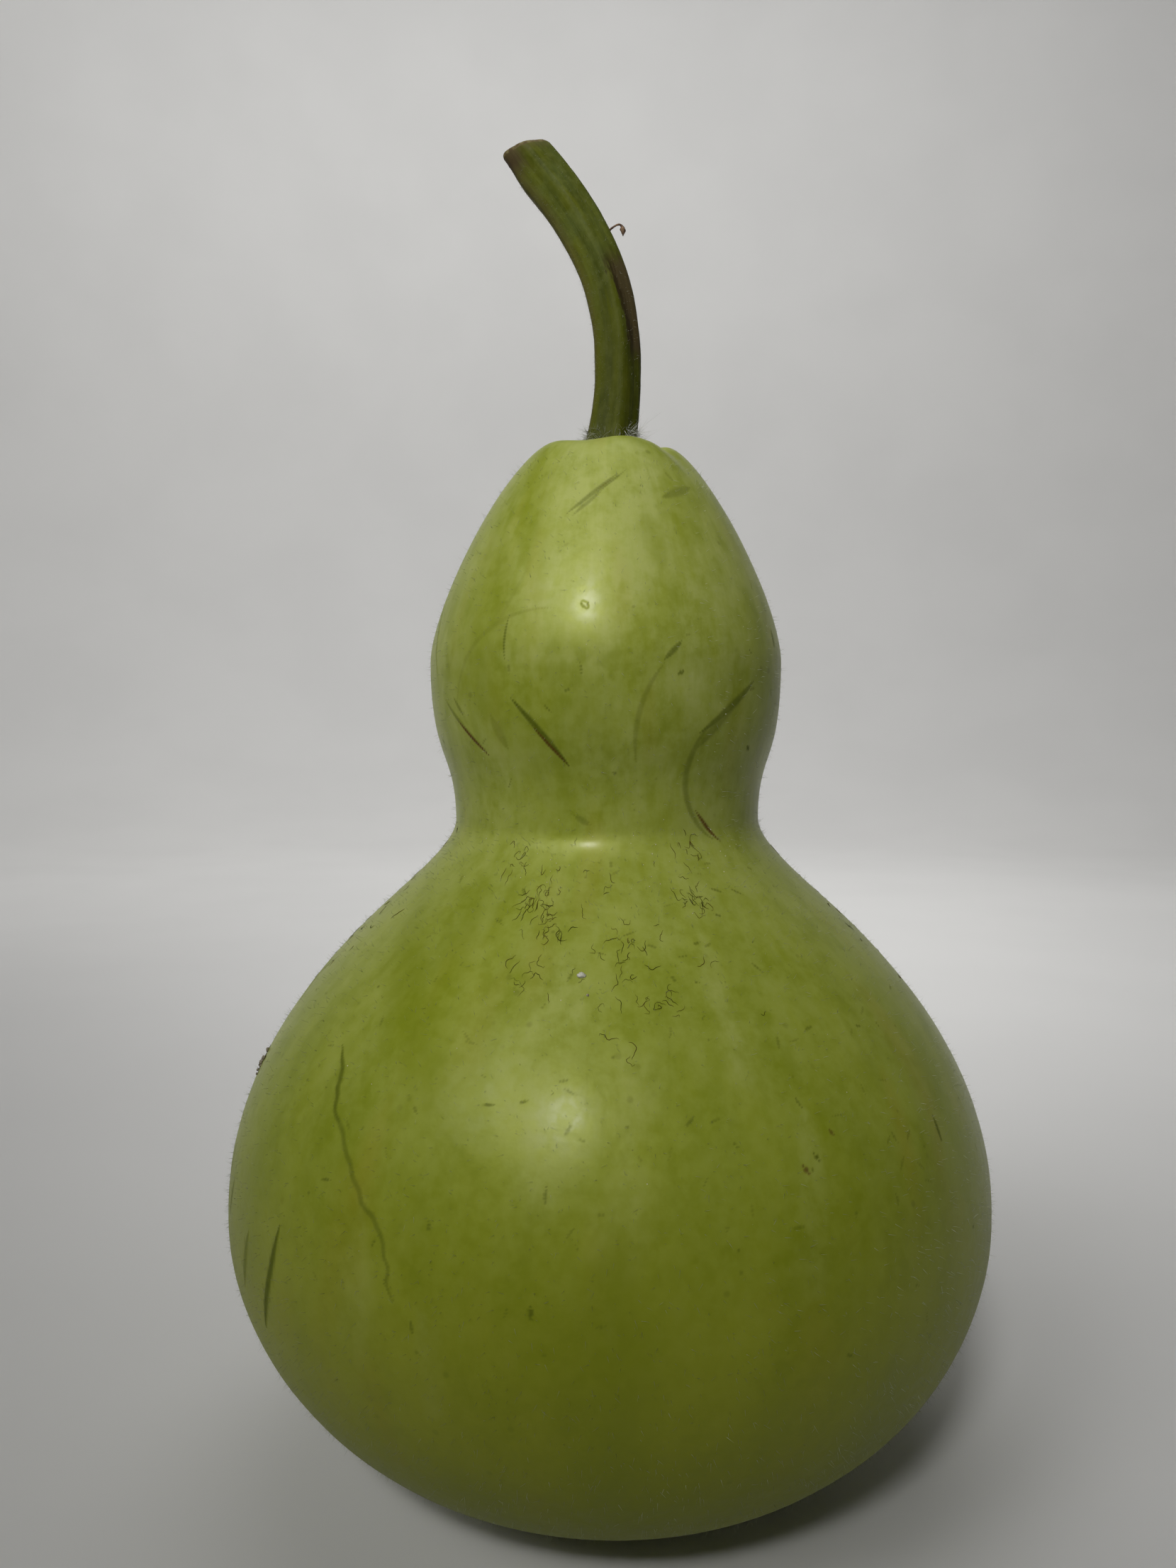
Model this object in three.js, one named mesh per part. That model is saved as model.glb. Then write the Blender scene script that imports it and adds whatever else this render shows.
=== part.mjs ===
// A bottle gourd as picked: the fruit, the stem it hung from and a withered tendril on the stem.
// Millimetres, +Z up. The origin is the middle of the small flat spot that the fruit stands on.
import * as THREE from "three";

// ---- Driving dimensions ----------------------------------------------------------------------

// The fruit, from the ground up. Each rise is counted from the landmark below it.
const footRadius = 20; // flat spot round the blossom end
const blossomRadius = 7; // shallow hollow where the flower sat
const blossomDepth = 2;
const bellyHeight = 54.5; // ground to the widest part
const bellyRadius = 80;
const waistRise = 79.6; // widest part to the narrowest
const waistRadius = 32.5;
const crownRise = 32.9; // narrowest part to the widest of the upper bulb
const crownRadius = 37.4;
const shoulderRise = 45.7; // upper bulb to the rim round the stem
const rimRadius = 13;
const seatDepth = 3; // rim down to the floor that the stem stands on

// How full each stretch of the outline is: the share of its rise that runs straight up or down.
const bellyFullnessBelow = 0.42;
const bellyFullnessAbove = 0.6;
const waistTuckBelow = 0.158;
const waistTuckAbove = 0.434;
const crownFullnessBelow = 0.62;
const crownFullnessAbove = 0.28;
const footFullness = 0.68; // the share of the way from the foot's edge that runs level
const shoulderReach = 7; // how far outside the rim the shoulder starts to turn down
const shoulderDrop = 0.4;

// How far the fruit strays from a turned shape.
const topLean = 0.8; // the upper bulb and the seat sit this far towards -X
const ovalShare = 0.006; // two-sided swelling, as a share of the radius
const lobeShare = 0.004; // three-sided swelling
const rimWave = 0.4; // the rim rises and dips by this much

// The stem: it rises from its seat, bows to +X and then bends over to -X.
const clearance = 0.3; // gap between pieces that touch
const stemHeight = 66.6; // seat to the middle of the cut end
const stemReach = 18.2; // the cut end lies this far towards -X
const stemBow = 4.6; // the stem's line is pulled this far towards +X on its way up
const stemSetBack = 3; // the cut end lies this far towards +Y
const stemRadius = 4.8; // mean radius along the straight part
const stemFootRadius = 6.4; // mean radius where it meets the seat
const stemFlareLength = 5; // the foot's flare fades over this length
const stemTipSwell = 0.3; // the cut end is a little thicker
const ridgeCount = 5;
const ridgeHeight = 0.35; // ridges stand above, and valleys lie below, the mean radius
const cutTilt = THREE.MathUtils.degToRad(14); // the cut slopes down towards +X
const cutRounding = 1.2;

// The withered tendril on the +X side of the stem.
const tendrilPlace = 0.66; // share of the stem's length from its foot
const tendrilRadius = 0.45;
const tendrilTipRadius = 0.85;
const tendrilOut = 2.3;
const tendrilUp = 1.6;
const tendrilDrop = 2.4;

// ---- Worked out from them --------------------------------------------------------------------

const waistHeight = bellyHeight + waistRise;
const crownHeight = waistHeight + crownRise;
const rimHeight = crownHeight + shoulderRise;
const seatHeight = rimHeight - seatDepth;
const seatRadius = stemFootRadius + ridgeHeight + clearance;

// ---- Shaping helpers -------------------------------------------------------------------------

// Turns a Path of (radius, height) about +Z.
function turned(path, stepsPerCurve, sides) {
  const geometry = new THREE.LatheGeometry(path.getPoints(stepsPerCurve), sides);
  return geometry.rotateX(Math.PI / 2);
}

// Moves every vertex to where place(angle, radius, height) puts it.
function reshape(geometry, place) {
  const position = geometry.getAttribute("position");
  const vertex = new THREE.Vector3();
  for (let i = 0; i < position.count; i++) {
    vertex.fromBufferAttribute(position, i);
    const angle = Math.atan2(vertex.y, vertex.x);
    const moved = place(angle, Math.hypot(vertex.x, vertex.y), vertex.z);
    position.setXYZ(i, moved.x, moved.y, moved.z);
  }
  geometry.computeVertexNormals();
  return geometry;
}

// A place beside a curve: along it by a length, then out from it by a radius at an angle, and
// then ahead by a shift. Angle 0 is the +X side.
function beside(curve, along, angle, radius, ahead = 0) {
  const share = THREE.MathUtils.clamp(along / curve.getLength(), 0, 1);
  const tangent = curve.getTangentAt(share);
  const right = new THREE.Vector3(0, 1, 0).cross(tangent).normalize();
  const back = new THREE.Vector3().crossVectors(tangent, right);
  return curve
    .getPointAt(share)
    .addScaledVector(right, radius * Math.cos(angle))
    .addScaledVector(back, radius * Math.sin(angle))
    .addScaledVector(tangent, ahead);
}

// ---- Fruit -----------------------------------------------------------------------------------

// Half the outline, from the hollow under the fruit to the middle of the stem's seat.
function fruitOutline() {
  const outline = new THREE.Path();
  outline.moveTo(0, blossomDepth);
  outline.quadraticCurveTo(blossomRadius / 2, blossomDepth, blossomRadius, 0);
  outline.lineTo(footRadius, 0);
  outline.bezierCurveTo(
    footRadius + footFullness * (bellyRadius - footRadius), 0,
    bellyRadius, bellyHeight - bellyFullnessBelow * bellyHeight,
    bellyRadius, bellyHeight,
  );
  outline.bezierCurveTo(
    bellyRadius, bellyHeight + bellyFullnessAbove * waistRise,
    waistRadius, waistHeight - waistTuckBelow * waistRise,
    waistRadius, waistHeight,
  );
  outline.bezierCurveTo(
    waistRadius, waistHeight + waistTuckAbove * crownRise,
    crownRadius, crownHeight - crownFullnessBelow * crownRise,
    crownRadius, crownHeight,
  );
  outline.bezierCurveTo(
    crownRadius, crownHeight + crownFullnessAbove * shoulderRise,
    rimRadius + shoulderReach, rimHeight - shoulderDrop,
    rimRadius, rimHeight,
  );
  outline.quadraticCurveTo(seatRadius, rimHeight, seatRadius, seatHeight);
  outline.lineTo(0, seatHeight);
  return outline;
}

// The small ways in which the grown fruit differs from the turned one.
function grown(angle, radius, height) {
  const { smoothstep } = THREE.MathUtils;
  const offGround = smoothstep(height, 0, bellyHeight);
  const swelling = ovalShare * Math.cos(2 * angle - 1) + lobeShare * Math.cos(3 * angle + 2);
  const offSeat = smoothstep(radius, seatRadius, rimRadius);
  const nearRim = smoothstep(height, rimHeight - shoulderRise / 4, rimHeight) * offSeat;
  const around = radius * (1 + offGround * (1 - nearRim) * offSeat * swelling);
  const lean = topLean * smoothstep(height, bellyHeight, crownHeight);
  const wave = rimWave * nearRim * Math.cos(ridgeCount * angle);
  return new THREE.Vector3(
    around * Math.cos(angle) - lean,
    around * Math.sin(angle),
    height + wave,
  );
}

function makeFruit() {
  const skin = new THREE.MeshStandardMaterial({ color: 0x8a9448, roughness: 0.42, metalness: 0 });
  const fruit = new THREE.Mesh(reshape(turned(fruitOutline(), 9, 60), grown), skin);
  fruit.name = "gourd_fruit";
  return fruit;
}

// ---- Stem ------------------------------------------------------------------------------------

// The middle line of the stem, from its seat to its cut end.
const stemLine = new THREE.CubicBezierCurve3(
  new THREE.Vector3(0, 0, clearance),
  new THREE.Vector3(stemBow, 0, 0.4 * stemHeight),
  new THREE.Vector3(0.7 * stemBow, 0.3 * stemSetBack, 0.66 * stemHeight),
  new THREE.Vector3(-stemReach, stemSetBack, stemHeight),
);

function stemRadiusAt(along) {
  const flare = (stemFootRadius - stemRadius) * Math.exp(-along / stemFlareLength);
  const swell = stemTipSwell * (along / stemLine.getLength()) ** 4;
  return stemRadius + flare + swell;
}

// A straight rod of radius 1, rounded at its cut end, which is then bent along the stem's line.
function rodOutline(length, rounding) {
  const outline = new THREE.Path();
  outline.moveTo(0, 0);
  outline.lineTo(1, 0);
  outline.splineThru([1, 2, 3, 4, 5].map((n) => new THREE.Vector2(1, (length - rounding) * (n / 5))));
  outline.quadraticCurveTo(1, length, 1 - rounding / stemRadius, length);
  outline.lineTo(0, length);
  return outline;
}

function makeStem() {
  const length = stemLine.getLength();
  const rod = turned(rodOutline(length, cutRounding), 4, 30);
  const place = (angle, share, along) => {
    const ridge = ridgeHeight * Math.cos(ridgeCount * angle);
    const radius = share * (stemRadiusAt(along) + ridge);
    const nearCut = THREE.MathUtils.smoothstep(along, length / 2, length);
    const slope = -Math.tan(cutTilt) * radius * Math.cos(angle) * nearCut;
    const point = beside(stemLine, along, angle, radius, slope);
    // The foot stands level in its seat, though the stem leans from there on.
    const aboveFoot = THREE.MathUtils.smoothstep(along, 0, 2 * stemFlareLength);
    point.z = THREE.MathUtils.lerp(clearance + along, point.z, aboveFoot);
    return point;
  };
  const skin = new THREE.MeshStandardMaterial({ color: 0x55661f, roughness: 0.6, metalness: 0 });
  const stem = new THREE.Mesh(reshape(rod, place), skin);
  stem.name = "stem";
  return stem;
}

// ---- Withered tendril ------------------------------------------------------------------------

function makeTendril() {
  const along = tendrilPlace * stemLine.getLength();
  const gap = ridgeHeight + clearance;
  const root = beside(stemLine, along, 0, stemRadiusAt(along) + gap);
  const from = (out, up) => root.clone().add(new THREE.Vector3(out, 0, up));
  const line = new THREE.CatmullRomCurve3([
    from(0, 0),
    from(0.45 * tendrilOut, 0.85 * tendrilUp),
    from(0.85 * tendrilOut, 0.8 * tendrilUp),
    from(tendrilOut, tendrilUp - tendrilDrop),
  ]);
  const length = line.getLength();
  const outline = new THREE.Path();
  outline.moveTo(0, 0);
  outline.lineTo(tendrilRadius, 0);
  outline.lineTo(tendrilRadius, length - 3 * tendrilTipRadius);
  outline.quadraticCurveTo(tendrilTipRadius, length - 2 * tendrilTipRadius,
    tendrilTipRadius, length - tendrilTipRadius);
  outline.quadraticCurveTo(tendrilTipRadius, length, 0, length);
  const twig = turned(outline, 6, 12);
  const place = (angle, radius, height) => beside(line, height, angle, radius);
  const skin = new THREE.MeshStandardMaterial({ color: 0x6b4a26, roughness: 0.85, metalness: 0 });
  const tendril = new THREE.Mesh(reshape(twig, place), skin);
  tendril.name = "withered_tendril";
  return tendril;
}

// ---- Assembly --------------------------------------------------------------------------------

const gourd = new THREE.Group();
const seat = new THREE.Group(); // what stands in the seat on top of the fruit
seat.position.set(-topLean, 0, seatHeight);
seat.add(makeStem(), makeTendril());
gourd.add(makeFruit(), seat);

export default gourd;
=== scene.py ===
"""A bottle gourd as picked, in a plain studio: its skin, stem, withered tendril and hairs."""

import math
import random
from dataclasses import dataclass

import bmesh
import bpy
import numpy as np
from mathutils import Matrix, Vector, geometry, kdtree, noise
from mathutils.bvhtree import BVHTree


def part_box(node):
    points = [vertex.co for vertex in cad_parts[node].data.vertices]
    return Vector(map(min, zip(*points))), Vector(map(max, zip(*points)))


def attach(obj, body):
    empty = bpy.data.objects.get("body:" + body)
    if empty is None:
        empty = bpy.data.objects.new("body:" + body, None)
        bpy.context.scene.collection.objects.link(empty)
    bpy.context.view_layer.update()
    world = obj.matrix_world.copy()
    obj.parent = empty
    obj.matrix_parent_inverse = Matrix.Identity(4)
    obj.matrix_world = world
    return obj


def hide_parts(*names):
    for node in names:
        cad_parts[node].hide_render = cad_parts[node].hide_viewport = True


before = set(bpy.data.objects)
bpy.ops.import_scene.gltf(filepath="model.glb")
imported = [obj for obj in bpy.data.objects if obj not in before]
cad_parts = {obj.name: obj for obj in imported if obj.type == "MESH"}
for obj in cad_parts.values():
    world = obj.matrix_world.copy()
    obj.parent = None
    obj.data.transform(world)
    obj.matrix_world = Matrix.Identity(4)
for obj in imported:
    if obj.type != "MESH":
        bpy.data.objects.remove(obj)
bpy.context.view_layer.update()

bl_info = {
    "name": "Bottle Gourd Maker",
    "version": (1, 0, 0),
    "blender": (4, 5, 0),
    "location": "3D View > Sidebar > Gourd",
    "description": "Makes a waisted bottle gourd with its stem, hairs, scratches and a plain studio",
    "category": "Add Mesh",
}

MM = 0.001
FRUIT_LOW, FRUIT_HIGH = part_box("gourd_fruit")
STEM_LOW, STEM_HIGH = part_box("stem")
TALL = FRUIT_HIGH.z
HALF = (FRUIT_HIGH.x - FRUIT_LOW.x) / 2
STEM_TALL = STEM_HIGH.z - STEM_LOW.z
TENDRIL_LOW, TENDRIL_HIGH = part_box("withered_tendril")
LIGHT_DISTANCE = 1.5
BODY = "root"


# ---- Sizes and colours that a user would change ------------------------------------------------


def length(name, default, description):
    """A property that holds a length in metres."""
    return bpy.props.FloatProperty(
        name=name, default=default, description=description, unit="LENGTH", precision=5
    )


def colour(name, default, description):
    """A property that holds a linear colour."""
    return bpy.props.FloatVectorProperty(
        name=name, default=default, description=description, subtype="COLOR", size=3, min=0, max=1
    )


class GourdFruitSizes(bpy.types.PropertyGroup):
    """The fruit's landmarks, from the ground up. Each rise is counted from the one below it."""

    foot_radius: length("Foot radius", 0.249 * HALF, "Flat spot that the fruit stands on")
    blossom_radius: length("Blossom radius", 7 * MM, "Hollow where the flower sat")
    blossom_depth: length("Blossom depth", 2 * MM, "How deep that hollow is")
    belly_height: length("Belly height", 0.2557 * TALL, "Ground to the widest part")
    belly_radius: length("Belly radius", 0.9968 * HALF, "Radius at the widest part")
    waist_rise: length("Waist rise", 0.3735 * TALL, "Widest part to the narrowest")
    waist_radius: length("Waist radius", 0.405 * HALF, "Radius at the narrowest part")
    crown_rise: length("Crown rise", 0.1544 * TALL, "Narrowest part to the upper bulb's widest")
    crown_radius: length("Crown radius", 0.466 * HALF, "Radius of the upper bulb")
    shoulder_rise: length("Shoulder rise", 0.2145 * TALL, "Upper bulb's widest to the rim")
    rim_radius: length("Rim radius", 0.162 * HALF, "Crest of the rim round the stem")
    seat_radius: length("Seat radius", 6.2 * MM, "Where the rim runs down into the stem")
    seat_depth: length("Seat depth", 3 * MM, "Rim down to where the stem starts")
    top_lean: length("Top lean", 0.8 * MM, "How far the top sits towards -X")
    rim_wave: length("Rim wave", 0.4 * MM, "How far the rim rises and dips")
    lump: length("Lumps", 0.28 * MM, "Height of the broad soft lumps in the skin")


class GourdSkinLooks(bpy.types.PropertyGroup):
    """The colours of the skin."""

    fresh: colour("Fresh green", (0.215, 0.265, 0.004), "Skin where its bloom is rubbed off")
    ripe: colour("Yellow green", (0.30, 0.345, 0.016), "Lighter skin between the green streaks")
    bloom: colour("Bloom", (0.40, 0.44, 0.12), "Pale waxy bloom over the skin")
    # Ochre and bruise also colour the painted shade low down.
    ochre: colour("Ochre", (0.31, 0.25, 0.006), "Warm tinge low down and on the right")
    bruise: colour("Bruise", (0.066, 0.086, 0.0), "Dark green of fresh scratches")
    scar: colour("Scar", (0.095, 0.03, 0.004), "Dark brown of dried scratches")


class GourdStemSizes(bpy.types.PropertyGroup):
    """The stem's line and section."""

    height: length("Height", 0.9643 * STEM_TALL, "Seat to the middle of the cut end")
    reach: length("Reach", 17.0 * MM, "How far the cut end lies towards -X")
    bow: length("Bow", 4.6 * MM, "How far the line is pulled towards +X on its way up")
    set_back: length("Set back", 3 * MM, "How far the cut end lies towards +Y")
    radius: length("Radius", 4.8 * MM, "Mean radius along the straight part")
    foot_radius: length("Foot radius", 6.5 * MM, "Mean radius where it grows from the fruit")
    flare: length("Flare", 4 * MM, "The foot's flare fades over this length")
    ridge: length("Ridge", 0.32 * MM, "Height of the five ridges over the mean radius")
    cut_tilt: bpy.props.FloatProperty(
        name="Cut tilt", default=math.radians(14), description="Slope of the cut", subtype="ANGLE"
    )


class GourdHairCounts(bpy.types.PropertyGroup):
    """How many hairs of each kind there are."""

    down: bpy.props.IntProperty(name="Down", default=15000, description="Short hairs on the skin")
    tuft: bpy.props.IntProperty(name="Tuft", default=760, description="Hairs round the stem's foot")
    stem_down: bpy.props.IntProperty(name="Stem down", default=1500, description="On the stem")


class GourdStudio(bpy.types.PropertyGroup):
    """Camera distance and lights."""

    eye_distance: length("Eye distance", 256.6 * MM, "Camera to the fruit's middle line")
    eye_height: length("Eye height", 154.6 * MM, "Camera above the ground")
    eye_shift: length("Eye shift", 4.8 * MM, "How far the camera stands towards -X")
    eye_tilt: bpy.props.FloatProperty(
        name="Eye tilt", default=math.radians(-3), description="Below level", subtype="ANGLE"
    )
    lens: bpy.props.FloatProperty(name="Lens", default=27.08, description="Focal length in mm")
    key_power: bpy.props.FloatProperty(name="Key light", default=0.31, description="Watts")
    side_power: bpy.props.FloatProperty(name="Side light", default=0.62, description="Watts")
    paper_power: bpy.props.FloatProperty(name="Paper light", default=13.5, description="Watts")
    floor_power: bpy.props.FloatProperty(name="Floor light", default=1.7, description="Watts")
    paper: colour("Paper", (0.72, 0.715, 0.70), "Floor and backdrop")


# ---- Shader maths ------------------------------------------------------------------------------


class Signal:
    """An output socket. Arithmetic on it adds Math nodes."""

    def __init__(self, paint, socket):
        self.paint = paint
        self.socket = socket

    def math(self, operation, *values):
        inputs = dict(enumerate(values))
        return self.paint.add("ShaderNodeMath", {"operation": operation}, inputs)

    def __add__(self, other):
        return self.math("ADD", self, other)

    def __radd__(self, other):
        return self.math("ADD", other, self)

    def __sub__(self, other):
        return self.math("SUBTRACT", self, other)

    def __rsub__(self, other):
        return self.math("SUBTRACT", other, self)

    def __mul__(self, other):
        return self.math("MULTIPLY", self, other)

    def step(self, low, high):
        """0 below low, 1 above high and smooth between them. It falls if low is above high."""
        ranges = {"From Min": low, "From Max": high, "Value": self}
        return self.paint.add("ShaderNodeMapRange", {"interpolation_type": "SMOOTHSTEP"}, ranges)


class Paint:
    """One material's node tree."""

    def __init__(self, name, **constants):
        self.material = bpy.data.materials.new(name)
        self.material.use_nodes = True
        self.tree = self.material.node_tree
        self.shader = self.tree.nodes["Principled BSDF"]
        for socket, value in constants.items():
            self.set(socket.replace("_", " "), value)

    def set(self, name, value):
        """Sets or links a socket of the shader."""
        self.fill(self.shader.inputs[name], value)

    def fill(self, socket, value):
        if isinstance(value, Signal):
            self.tree.links.new(value.socket, socket)
        elif socket.type == "RGBA" and len(value) == 3:
            socket.default_value = (*value, 1)
        else:
            socket.default_value = value

    def add(self, kind, settings, inputs, output=0):
        """Adds a node: its type, its settings, then the values or links of its sockets."""
        node = self.tree.nodes.new(kind)
        for name, value in settings.items():
            setattr(node, name, value)
        for name, value in inputs.items():
            self.fill(node.inputs[name], value)
        return Signal(self, node.outputs[output])

    def place(self):
        return self.add("ShaderNodeTexCoord", {}, {}, "Object")

    def attribute(self, name, output="Fac"):
        return self.add("ShaderNodeAttribute", {"attribute_name": name}, {}, output)

    def scaled(self, vector, scale):
        return self.add("ShaderNodeMapping", {}, {"Vector": vector, "Scale": scale})

    def noise(self, vector, scale, detail=2.0, roughness=0.5):
        sockets = {"Vector": vector, "Scale": scale, "Detail": detail, "Roughness": roughness}
        return self.add("ShaderNodeTexNoise", {}, sockets, "Fac")

    def dots(self, vector, scale):
        sockets = {"Vector": vector, "Scale": scale}
        return self.add("ShaderNodeTexVoronoi", {}, sockets, "Distance")

    def mix(self, factor, first, second):
        """Blends two colours."""
        sockets = {0: factor, 6: first, 7: second}
        return self.add("ShaderNodeMix", {"data_type": "RGBA"}, sockets, 2)

    def bump(self, height, distance, strength=1.0, normal=None):
        sockets = {"Height": height, "Distance": distance, "Strength": strength}
        if normal is not None:
            sockets["Normal"] = normal
        return self.add("ShaderNodeBump", {}, sockets)


# ---- Mesh helpers ------------------------------------------------------------------------------


def ease(value, low, high):
    """0 below low, 1 above high and smooth between them."""
    share = min(max((value - low) / (high - low), 0.0), 1.0)
    return share * share * (3 - 2 * share)


def finish_piece(name, bm, material, slot, *replaced):
    """Turns a bmesh into a finished piece that rides on the gourd's body."""
    mesh = bpy.data.meshes.new(name)
    bm.to_mesh(mesh)
    bm.free()
    mesh.materials.append(material)
    mesh.shade_smooth()
    piece = bpy.data.objects.new(name, mesh)
    bpy.context.scene.collection.objects.link(piece)
    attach(piece, BODY)
    if replaced:
        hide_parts(*replaced)
    return piece


def bent(start, pull_start, pull_end, end, step=1.7 * MM):
    """Points of a Bezier stretch of (radius, height), without its first point."""
    knots = [Vector((x, 0, z)) for x, z in (start, pull_start, pull_end, end)]
    count = max(3, round((knots[3] - knots[0]).length * 1.1 / step))
    return geometry.interpolate_bezier(*knots, count + 1)[1:]


def tube(bm, line, radius_at, sides):
    """A closed tube along a line of points. radius_at(share, angle) gives its radius."""
    first = bmesh.ops.create_circle(bm, segments=sides, radius=1, cap_ends=False)["verts"]
    edges = list({edge for vert in first for edge in vert.link_edges})
    bmesh.ops.contextual_create(bm, geom=edges)
    ring, rings = first, [first]
    for _ in line[1:]:
        grown_edges = bmesh.ops.extrude_edge_only(bm, edges=edges)["geom"]
        ring = [item for item in grown_edges if isinstance(item, bmesh.types.BMVert)]
        edges = [item for item in grown_edges if isinstance(item, bmesh.types.BMEdge)]
        rings.append(ring)
    bmesh.ops.contextual_create(bm, geom=edges)
    angles = [math.atan2(vert.co.y, vert.co.x) for vert in first]
    for index, (point, ring) in enumerate(zip(line, rings)):
        ahead = line[min(index + 1, len(line) - 1)] - line[max(index - 1, 0)]
        turn = section_turn(ahead)
        share = index / (len(line) - 1)
        for vert, angle in zip(ring, angles):
            around = Vector((math.cos(angle), math.sin(angle), 0)) * radius_at(share, angle)
            vert.co = point + turn @ around
    return rings


def section_turn(ahead):
    """The rotation that stands a level section across the way ahead, with its +X kept level."""
    ahead = ahead.normalized()
    side = Vector((0, 1, 0)) if abs(ahead.y) < 0.95 else Vector((1, 0, 0))
    right = side.cross(ahead).normalized()
    back = ahead.cross(right)
    return Matrix((right, back, ahead)).transposed()


# ---- Fruit -------------------------------------------------------------------------------------


def landmarks(size):
    """Heights of the waist, the upper bulb, the rim and the seat."""
    waist = size.belly_height + size.waist_rise
    crown = waist + size.crown_rise
    rim = crown + size.shoulder_rise
    return waist, crown, rim, rim - size.seat_depth


def fruit_outline(size):
    """Half the fruit's outline in the XZ plane, from the blossom end to the stem's seat."""
    waist, crown, rim, seat = landmarks(size)
    foot, belly, hollow = size.foot_radius, size.belly_radius, size.blossom_radius
    points = [Vector((0, 0, size.blossom_depth))]
    points += bent(
        (0, size.blossom_depth), (hollow * 0.5, size.blossom_depth), (hollow * 0.7, 0), (hollow, 0)
    )
    points += bent((hollow, 0), (hollow + 2 * MM, 0), (foot - 2 * MM, 0), (foot, 0))
    points += bent(
        (foot, 0),
        (foot + 0.68 * (belly - foot), 0),
        (belly, 0.58 * size.belly_height),
        (belly, size.belly_height),
    )
    points += bent(
        (belly, size.belly_height),
        (belly, size.belly_height + 0.6 * size.waist_rise),
        (size.waist_radius, waist - 0.158 * size.waist_rise),
        (size.waist_radius, waist),
    )
    points += bent(
        (size.waist_radius, waist),
        (size.waist_radius, waist + 0.434 * size.crown_rise),
        (size.crown_radius, crown - 0.62 * size.crown_rise),
        (size.crown_radius, crown),
    )
    points += bent(
        (size.crown_radius, crown),
        (size.crown_radius, crown + 0.28 * size.shoulder_rise),
        (size.rim_radius + 7 * MM, rim - 0.4 * MM),
        (size.rim_radius, rim),
    )
    points += bent(
        (size.rim_radius, rim),
        (size.rim_radius - 2.5 * MM, rim + 0.2 * MM),
        (size.seat_radius + 1.2 * MM, seat + 1.5 * MM),
        (size.seat_radius, seat),
        step=0.8 * MM,
    )
    points += bent((size.seat_radius, seat), (4 * MM, seat), (2 * MM, seat), (0, seat))
    return points


class Outline:
    """The fruit's outline as a radius for each height, between the foot and the rim."""

    def __init__(self, size):
        self.points = fruit_outline(size)
        # The first twelfth of the points is the hollow and the flat spot under the fruit.
        side = self.points[len(self.points) // 12 :]
        top = max(range(len(side)), key=lambda i: side[i].z)
        self.heights = np.array([p.z for p in side[: top + 1]])
        self.radii = np.array([p.x for p in side[: top + 1]])
        order = np.argsort(self.heights)
        self.heights, self.radii = self.heights[order], self.radii[order]
        # Marks and settled vertices stay between these heights, clear of the foot and of the rim.
        self.low, self.high = self.heights[3], self.heights[-4]

    def radius(self, height):
        return float(np.interp(height, self.heights, self.radii))

    def walk(self, turn, height, way, step):
        """Where a step over the skin leads. A way of 0 is to the right and a quarter turn is up."""
        slope = (self.radius(height + MM) - self.radius(height - MM)) / (2 * MM)
        turn += math.degrees(math.cos(way) * step / self.radius(height))
        height += math.sin(way) * step / math.hypot(1, slope)
        return turn, min(max(height, self.low), self.high)

    def at(self, turn, height):
        """The place on the skin that is turn degrees to the right of the front."""
        radius, angle = self.radius(height), math.radians(turn)
        return Vector((radius * math.sin(angle), -radius * math.cos(angle), height))


# What a mark leaves on the skin for its material to read, and the width in mm of a broad mark.
PAINTED = ("bruise", "scar", "rubbed", "frost", "tinge")
BROAD = 4.0


@dataclass
class Mark:
    """A stroke on the skin.

    It starts at a turn, in degrees to the right of the front, and at a share of the fruit's height.
    It runs for a reach in mm along a heading in degrees, where 0 is to the right and 90 is up, and
    its heading bends by so many degrees on the way. A waver makes it jagged. Its width is in mm.
    """

    turn: float
    share: float
    heading: float
    reach: float
    width: float
    bend: float = 0.0
    waver: float = 0.0
    bruise: float = 0.0
    scar: float = 0.0
    rubbed: float = 0.0
    frost: float = 0.0
    tinge: float = 0.0
    groove: float = 0.0
    taper: float = 0.7

    def line(self, outline, step=0.6):
        """Points along the mark on the skin."""
        turn, height = self.turn, self.share * TALL
        points = [outline.at(turn, height)]
        count = max(1, round(self.reach / step))
        for index in range(count):
            jag = self.waver * noise.noise(Vector((self.turn + 0.5, self.share, index * 0.3)))
            way = math.radians(self.heading + self.bend * index / count + jag)
            turn, height = outline.walk(turn, height, way, self.reach * MM / count)
            points.append(outline.at(turn, height))
        return points


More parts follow.
